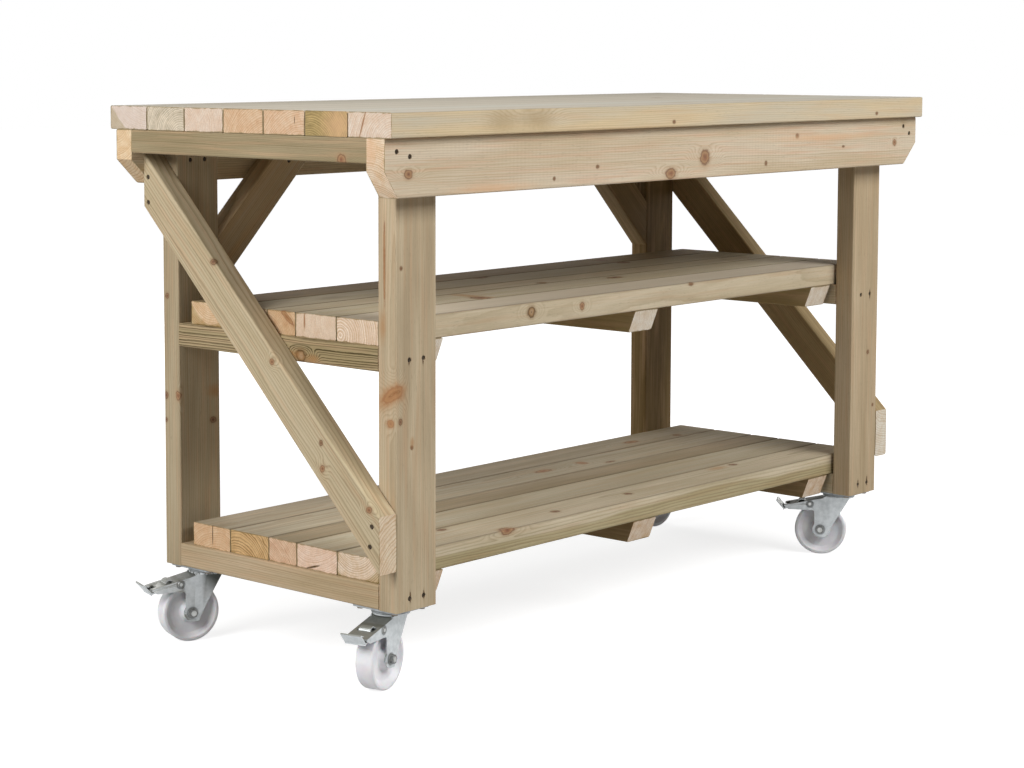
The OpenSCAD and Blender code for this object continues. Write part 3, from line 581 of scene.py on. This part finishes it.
# Knots and other marks: kind, place and radii along x, y and z in millimetres, and for some a
# turn in degrees
MARKS = {
    "front_apron": [
        ("knot", (-684, -302, 791), (9, 14, 7)), ("knot", (52, -302, 791), (13, 22, 13)),
        ("knot", (-44, -302, 767), (14, 20, 9)), ("pin", (-240, -302, 786), (4, 8, 3)),
        ("pin", (-349, -302, 771), (3, 8, 3)), ("pin", (234, -302, 774), (4, 8, 4)),
        ("pin", (331, -302, 819), (5, 8, 4)), ("pin", (482, -302, 796), (4, 8, 2)),
        ("knot", (659, -302, 798), (6, 14, 6)), ("flush", (420, -302, 815), (150, 6, 5)),
        ("swirl", (690, -302, 836), (9, 14, 9)), ("flush", (-734, -272, 826), (5, 9, 20)),
        ("flush", (-490, -302, 763), (80, 6, 6))],
    "top_board_1": [
        ("swirl", (-430, -316, 868), (22, 14, 14)), ("stain", (-490, -316, 866), (32, 6, 14)),
        ("stain", (-397, -316, 866), (26, 6, 14)), ("pin", (-55, -316, 854), (4, 9, 3)),
        ("pin", (572, -316, 855), (4, 9, 3)), ("stain", (64, -240, 883), (40, 12, 5)),
        ("seam", (-734, -257, 865), (30, 1.3, 20), (19, 0, 0))],
    "top_board_2": [("flush", (-734, -207, 862), (8, 26, 24))],
    "top_board_3": [("crack", (-734, -114, 868), (10, 0.8, 5))],
    "top_board_4": [("pin", (328, 10, 883), (12, 6, 6))],
    "front_left_leg": [
        ("seam", (-671, -240, 656), (5, 2.2, 58)), ("pin", (-660, -264, 648), (3, 8, 3)),
        ("resin", (-671, -250, 455), (15, 26, 13), (-32, 0, 0)),
        ("burl", (-668, -255, 458), (14, 23, 9), (-34, 0, 0)),
        ("seam", (-670, -260, 461), (9, 13, 2), (-30, 0, 0)), ("burl", (-671, -252, 414), (4, 7, 6)),
        ("resin", (-671, -236, 560), (3, 6, 20)), ("pin", (-662, -264, 417), (4, 6, 5)),
        ("pin", (-637, -264, 375), (3, 6, 3)), ("resin", (-636, -264, 383), (4, 5, 6)),
        ("crack", (-643, -264, 507), (1.4, 6, 6)), ("crack", (-612, -264, 505), (1.4, 6, 6)),
        ("crack", (-641, -264, 146), (1.6, 6, 8)), ("crack", (-611, -264, 145), (1.6, 6, 7))],
    "front_right_leg": [
        ("pin", (638, -264, 397), (4, 7, 4)), ("pin", (658, -264, 293), (3, 6, 3)),
        ("crack", (642, -264, 508), (2, 6, 9)), ("crack", (611, -264, 145), (2, 6, 7)),
        ("crack", (642, -264, 147), (2, 6, 8))],
    "rear_left_leg": [
        ("resin", (-593, 226, 408), (14, 8, 9)), ("pin", (-671, 254, 571), (6, 4, 5)),
        ("pin", (-671, 259, 406), (6, 5, 6)), ("knot", (-671, 230, 408), (6, 5, 8)),
        ("pin", (-598, 226, 360), (7, 5, 5)), ("pin", (-671, 260, 365), (6, 4, 4))],
    "left_end_brace": [
        ("pin", (-709, 99, 639), (8, 6, 5)), ("knot", (-709, -35, 492), (10, 5, 5)),
        ("pin", (-709, -142, 377), (8, 4, 5)), ("knot", (-709, -145, 338), (8, 5, 6)),
        ("knot", (-709, -244, 287), (8, 6, 5))],
    "left_top_rail": [("knot", (-732, -213, 812), (12, 9, 8))],
    "upper_left_rail": [
        ("ring", (-671, -60, 500), (30, 10, 9)), ("resin", (-671, -34, 501), (8, 18, 5)),
        ("resin", (-671, -86, 497), (8, 12, 6))],
    "upper_shelf_1": [
        ("ring", (-307, -221, 550), (9, 16, 9)), ("knot", (-177, -221, 549), (6, 12, 7)),
        ("pin", (127, -221, 563), (7, 8, 3))],
    "upper_shelf_2": [
        ("pin", (104, -68, 566), (18, 10, 10)), ("resin", (-304, -85, 566), (12, 48, 6)),
        ("pin", (-314, -116, 566), (16, 17, 8)), ("seam", (-664, -61, 554), (12, 1.6, 11))],
    "upper_shelf_3": [
        ("pin", (-57, -32, 566), (11, 7, 8)), ("seam", (-664, -23, 556), (20, 4.5, 17), (-52, 0, 0))],
    "upper_shelf_4": [
        ("pin", (-62, 110, 566), (18, 12, 10)), ("pin", (345, 100, 566), (14, 10, 8)),
        ("shade", (-478, 66, 566), (30, 14, 5))],
    "upper_shelf_5": [("pin", (358, 165, 566), (14, 12, 10)), ("shade", (-491, 146, 566), (28, 12, 5))],
    "lower_shelf_1": [
        ("knot", (-364, -219, 200), (16, 12, 7)), ("pin", (-199, -183, 201), (9, 7, 5)),
        ("pin", (7, -177, 201), (8, 7, 5)), ("pin", (-437, -143, 201), (9, 6, 5)),
        ("resin", (314, -147, 201), (24, 9, 5)), ("pin", (364, -147, 201), (9, 7, 5))],
    "lower_shelf_2": [("crack", (-664, -77, 168), (20, 14, 1.4), (-16, 0, 0))],
    "lower_shelf_4": [("knot", (74, 72, 201), (20, 9, 10)), ("knot", (187, 72, 201), (10, 12, 10)),
                      ("pin", (234, 42, 201), (12, 5, 6))],
    "lower_shelf_5": [("knot", (434, 147, 201), (18, 9, 9)), ("pin", (562, 130, 201), (9, 8, 6)),
                      ("crack", (-664, 156, 186), (30, 1.0, 16))],
}
print(len(PIECE_LOOKS), "pieces with a look of their own,", len(MARKS), "with marks")

# %% [markdown]
# ### Grain along the piece
#
# A board is sawn along its log, so the grain runs with its length. Two pieces
# of the same look still differ a little, so each base tint is moved by up to
# a twentieth, with a seed from the piece's own name.

# %% Grain directions
ALONG_X, ALONG_Y, UP = (1, 0, 0), (0, 1, 0), (0, 0, 1)
SLOPE = math.sqrt(0.5)
TINT_SPREAD = 0.05
TIMBER_BEVEL = 0.8 * MM


def grain_and_face(node):
    """The direction of a timber's grain and the normal of its wide face, from its name."""
    if "knee" in node:
        return ((SLOPE if "left" in node else -SLOPE), 0, SLOPE), ALONG_Y
    if "end_brace" in node:
        return (0, SLOPE, SLOPE), ALONG_X
    if "leg" in node:
        return UP, ALONG_Y
    if "rail" in node or "bearer" in node:
        return ALONG_Y, UP
    return ALONG_X, (ALONG_Y if "apron" in node else UP)


def varied(code, seed, amount):
    """A hex colour with its brightness and warmth moved a little."""
    light, warm = seed.uniform(-amount, amount), seed.uniform(-amount, amount) / 2
    parts = [int(code[i:i + 2], 16) * (1 + light + shift) for i, shift in ((1, warm), (3, 0), (5, -warm))]
    return "#" + "".join(f"{min(255, max(0, round(p))):02X}" for p in parts)


timbers = sorted(n for n in frame["nodes"] if not n.startswith("caster") and "screws" not in n)
for node in timbers:
    seed = random.Random("tint " + node)
    look = dict(TOP if "top_board" in node else SHELF if "shelf" in node else UPRIGHT)
    for key in ("pale", "deep", "end", "end_deep"):
        look[key] = varied(look[key], seed, TINT_SPREAD)
    look.update(PIECE_LOOKS.get(node, {}))
    grain, look["wide"] = grain_and_face(node)
    softwood = timber("softwood_" + node, node, grain, look, MARKS.get(node, ()))
    softened(node, node + "_timber", TIMBER_BEVEL, softwood)
print(len(timbers), "timber pieces,", sum(len(m) for m in MARKS.values()), "knots and marks")

# %% [markdown]
# ## Steel and nylon
#
# The casters' plates and forks are pressed from sheet steel and zinc plated: a
# light, slightly blue metal, quite matt, with a faint mottle. A ring of painted
# shadow lies on the sheet around each pin and axle, and the rims of the pin's
# head and of the axle's nut are darkened as painted shade. Faces that look up
# are darkened, partly dust and oil, partly painted shade under the timber, and
# the plates under the timber are painted darker as painted shade. The places of
# the rings come from the record's joints. The bolts have the same plating,
# duller and tarnished, and the screws are painted a dark brown: partly their
# tarnish, partly painted shade of the holes they sit in. The wheels are moulded
# nylon, white and a little translucent, with a satin surface.

# %% Steel and nylon materials
# Bright and dark parts of the zinc's mottle are a few millimetres wide
MOTTLE = 9 * MM
# The rings of painted shadow on the fork around the pin and the axle: where each band lies from its axis
PIN_BAND, AXLE_BAND = (5.0 * MM, 8.4 * MM), (7.6 * MM, 10.6 * MM)
# The rims of the pin's head and of the axle's nut, darkened as painted shade
PIN_RIM, AXLE_RIM = (3.2 * MM, 5.6 * MM), (5.4 * MM, 8.4 * MM)
# The colour of faces that look up: dust and oil, and painted shade
DUST_AND_SHADE = "#6B6A5E"
# Fine texture of the plating and of the moulding
PLATING, MOULDING, SKIN = 1.5 * MM, 0.8 * MM, 0.05 * MM
# Clouds in the nylon, and how far light goes into it
NYLON_CLOUD, NYLON_DEPTH = 22 * MM, 3 * MM
joints = {joint["name"]: joint for joint in record["behaviour"]["joints"]}


def zinc(name, bright, dull, roughness, metal, bands=(), dust_and_shade_share=0.8):
    """Zinc plated steel with a soft mottle, faces on top darkened (partly dust and oil, partly painted shade)
    and rings of painted shade around the given joints.
    """
    material, tree = new_material(name)
    place = add_node(tree, "TexCoord", out="Object")
    mottle = add_node(tree, "TexNoise", inputs={
        "Vector": place, "Scale": 1 / MOTTLE, "Detail": 4.0, "Roughness": 0.65})
    colour = add_node(tree, "ValToRGB", inputs={"Fac": mottle}, stops=(
        (0.35, linear(dull)), (0.65, linear(bright))))
    # Rings of painted shade around each given joint
    for joint, (inner, outer) in bands:
        across = Vector(joint["axis"])
        middle = Vector(joint["pos_m"])
        arm = add_node(tree, "VectorMath", SUBTRACT, {0: place, 1: middle})
        along = add_node(tree, "VectorMath", {"operation": "CROSS_PRODUCT"}, {0: arm, 1: across})
        away = add_node(tree, "VectorMath", LENGTH, {0: along}, "Value")
        # Halved, so that the band's outer edge lies at the middle of the ramp
        away = add_node(tree, "Math", MULTIPLY, {0: away, 1: 1 / (2 * outer)})
        ring_shade = add_node(tree, "ValToRGB", inputs={"Fac": away}, stops=(
            (0.38 * inner / outer, grey(1.0)), (0.5 * inner / outer, grey(0.28)), (0.42, grey(0.45)),
            (0.52, grey(1.0))))
        colour = add_node(tree, "Mix", DARKEN, {0: 1.0, 6: colour, 7: ring_shade}, 2)
    # Faces that look up are darkened: partly dust and oil, partly painted shade under the timber
    upward = add_node(tree, "VectorMath", DOT, {0: place.node.outputs["Normal"], 1: (0, 0, 1)}, "Value")
    dust_and_shade_mask = add_node(tree, "MapRange", SMOOTH, {
        "Value": upward, "From Min": 0.35, "From Max": 0.8, "To Min": 0.0, "To Max": dust_and_shade_share})
    colour = add_node(tree, "Mix", COLOURS, {0: dust_and_shade_mask, 6: colour, 7: linear(DUST_AND_SHADE)}, 2)
    rough = add_node(tree, "ValToRGB", inputs={"Fac": mottle}, stops=(
        (0.3, grey(roughness + 0.12)), (0.7, grey(roughness))))
    fine = add_node(tree, "TexNoise", inputs={"Vector": place, "Scale": 1 / PLATING, "Detail": 2.0})
    bump = add_node(tree, "Bump", inputs={"Height": fine, "Strength": 0.15, "Distance": SKIN})
    shader = add_node(tree, "BsdfPrincipled", inputs={
        "Base Color": colour, "Metallic": metal, "Roughness": rough, "Normal": bump})
    add_node(tree, "OutputMaterial", inputs={"Surface": shader})
    return material


def nylon(name):
    """Moulded white nylon with a satin surface and a little light let through."""
    material, tree = new_material(name)
    place = add_node(tree, "TexCoord", out="Object")
    cloud = add_node(tree, "TexNoise", inputs={"Vector": place, "Scale": 1 / NYLON_CLOUD, "Detail": 3.0})
    colour = add_node(tree, "ValToRGB", inputs={"Fac": cloud}, stops=(
        (0.35, linear("#E4E3E7")), (0.65, linear("#EDEDEF"))))
    texture = add_node(tree, "TexNoise", inputs={"Vector": place, "Scale": 1 / MOULDING, "Detail": 2.0})
    bump = add_node(tree, "Bump", inputs={"Height": texture, "Strength": 0.1, "Distance": SKIN})
    shader = add_node(tree, "BsdfPrincipled", inputs={
        "Base Color": colour, "Roughness": 0.42, "Normal": bump, "IOR": 1.53,
        "Subsurface Weight": 0.15, "Subsurface Scale": NYLON_DEPTH})
    add_node(tree, "OutputMaterial", inputs={"Surface": shader})
    return material


SHEET = ("#C9CDCF", "#B7BCBE", 0.45, 0.6)
sheet_zinc = zinc("zinc_plated_sheet_steel", *SHEET)
# The plates are painted darker than the sheet, as painted shade under the timber
shaded_plate_zinc = zinc("shaded_plate_steel", "#A7ABAD", "#8F9395", 0.5, 0.6)
old_zinc = zinc("tarnished_bolt_steel", "#8F877C", "#6F665B", 0.5, 0.7)
# The screws are painted a dark brown: partly their tarnish, partly painted shade of the holes they sit in
screw_steel_and_hole_shade = zinc("dull_screw_steel", "#4A4034", "#33291F", 0.6, 0.7)
white_nylon = nylon("moulded_white_nylon")
print("four kinds of zinc and one of nylon mixed")

# %% Casters and fixings
FIXING_BEVEL = 0.3 * MM
for corner in ("fl", "fr", "rl", "rr"):
    pin, axle = joints[f"pedal_{corner}_press"], joints[f"wheel_{corner}_spin"]
    fork_zinc = zinc(f"zinc_plated_fork_{corner}", *SHEET, ((pin, PIN_BAND), (axle, AXLE_BAND)))
    fixing_zinc = zinc(f"zinc_plated_fixings_{corner}", "#C3C5C4", "#A6A7A4", 0.38, 0.8,
                       ((pin, PIN_RIM), (axle, AXLE_RIM)), 0.3)
    finishes = {
        "plate": (0.6 * MM, shaded_plate_zinc), "fork": (0.7 * MM, fork_zinc), "pedal": (0.6 * MM, sheet_zinc),
        "axle": (0.4 * MM, fixing_zinc), "wheel": (0.5 * MM, white_nylon)}
    for part, (width, finish) in finishes.items():
        node = f"caster_{corner}_{part}"
        softened(node, node + "_finish", width, finish)
for node in ("frame_screws", "top_screws", "shelf_screws"):
    softened(node, node + "_finish", FIXING_BEVEL, screw_steel_and_hole_shade)
softened("caster_bolts", "caster_bolts_finish", FIXING_BEVEL, old_zinc)
print("casters and fixings dressed")

# %% [markdown]
# ## Floor, backdrop and light
#
# The bench stands on plain white paper. A lamp would have to be very strong
# to make that paper read as pure white, and it would bleach the wood. So the
# paper's own material looks white to the camera and in reflections, whiter
# still away from the bench, and throws back only a little light. Two wide
# soft boxes stand square to the bench, one off its left end and one off its
# front. Both outer sides are then bright, and faces inside the bench that
# look left or right stay dark, as they do under a wide top. A weaker box
# behind and two low panels light the far sides.

# %% Floor
# Light that the paper throws back, and its white near the bench and far from it, in metres
PAPER_GREY = 0.42
NEAR_WHITE, NEAR, FAR = 0.80, 0.8, 1.9
FLOOR_SIZE = 40


def white_paper(name):
    """Paper that the camera sees as nearly white, and that still takes a shadow."""
    material, tree = new_material(name)
    path = add_node(tree, "LightPath", out="Is Camera Ray")
    mirrored = path.node.outputs["Is Glossy Ray"]
    through = path.node.outputs["Is Transmission Ray"]
    seen = add_node(tree, "Math", MAXIMUM, {0: path, 1: mirrored})
    seen = add_node(tree, "Math", MAXIMUM, {0: seen, 1: through})
    place = add_node(tree, "TexCoord", out="Object")
    away = add_node(tree, "VectorMath", LENGTH, {0: place}, "Value")
    white = add_node(tree, "MapRange", SMOOTH, {
        "Value": away, "From Min": NEAR, "From Max": FAR, "To Min": NEAR_WHITE, "To Max": 1.0})
    paper = add_node(tree, "BsdfDiffuse", inputs={"Color": grey(PAPER_GREY)})
    glow = add_node(tree, "Emission", inputs={"Color": grey(1.0), "Strength": white})
    bright = add_node(tree, "AddShader", inputs={0: paper, 1: glow})
    chosen = add_node(tree, "MixShader", inputs={0: seen, 1: paper, 2: bright})
    add_node(tree, "OutputMaterial", inputs={"Surface": chosen})
    return material


bpy.ops.object.select_all(action="DESELECT")
bpy.ops.mesh.primitive_plane_add(size=FLOOR_SIZE, location=(0, 0, 0))
floor = bpy.context.active_object
floor.name = "paper_floor"
floor.data.materials.append(white_paper("white_paper"))
print("paper floor,", FLOOR_SIZE, "m wide")

# %% Soft boxes and surround
# Each box: its place and size in metres and its power in watts. All aim at the bench's middle
AIM = Vector((0, 0, 0.5))
# The white surround's share of light on the bench
AMBIENT = 0.055
SOFT_BOXES = {
    "left": ((-4.2, 0.2, 2.7), (2.5, 2.2), 170),
    "front": ((0.6, -4.0, 3.5), (3.2, 2.4), 215),
    "back": ((1.6, 2.9, 3.6), (2.5, 2.0), 22),
    "low right": ((4.0, 0.0, 0.45), (1.6, 0.7), 26),
    "low rear": ((0.8, 4.2, 0.6), (2.6, 0.8), 45)}
for name, (spot, size, power) in SOFT_BOXES.items():
    lamp_data = bpy.data.lights.new(name, "AREA")
    lamp_data.shape = "RECTANGLE"
    lamp_data.size, lamp_data.size_y = size
    lamp_data.energy = power
    lamp = bpy.data.objects.new(name, lamp_data)
    lamp.location = spot
    lamp.rotation_euler = (AIM - Vector(spot)).to_track_quat("-Z", "Y").to_euler()
    bpy.context.scene.collection.objects.link(lamp)

world = bpy.data.worlds.new("world")
bpy.context.scene.world = world
world.use_nodes = True
tree = world.node_tree
tree.nodes.clear()
seen = add_node(tree, "LightPath", out="Is Camera Ray")
for ray in ("Is Glossy Ray", "Is Transmission Ray"):
    seen = add_node(tree, "Math", MAXIMUM, {0: seen, 1: add_node(tree, "LightPath", out=ray)})
strength = add_node(tree, "Math", MULTIPLY_ADD, {0: seen, 1: 1 - AMBIENT, 2: AMBIENT})
surround = add_node(tree, "Background", inputs={"Color": grey(1.0), "Strength": strength})
add_node(tree, "OutputWorld", inputs={"Surface": surround})
bpy.context.scene.view_settings.view_transform = "Standard"
print("floor,", len(SOFT_BOXES), "soft boxes and a white surround")
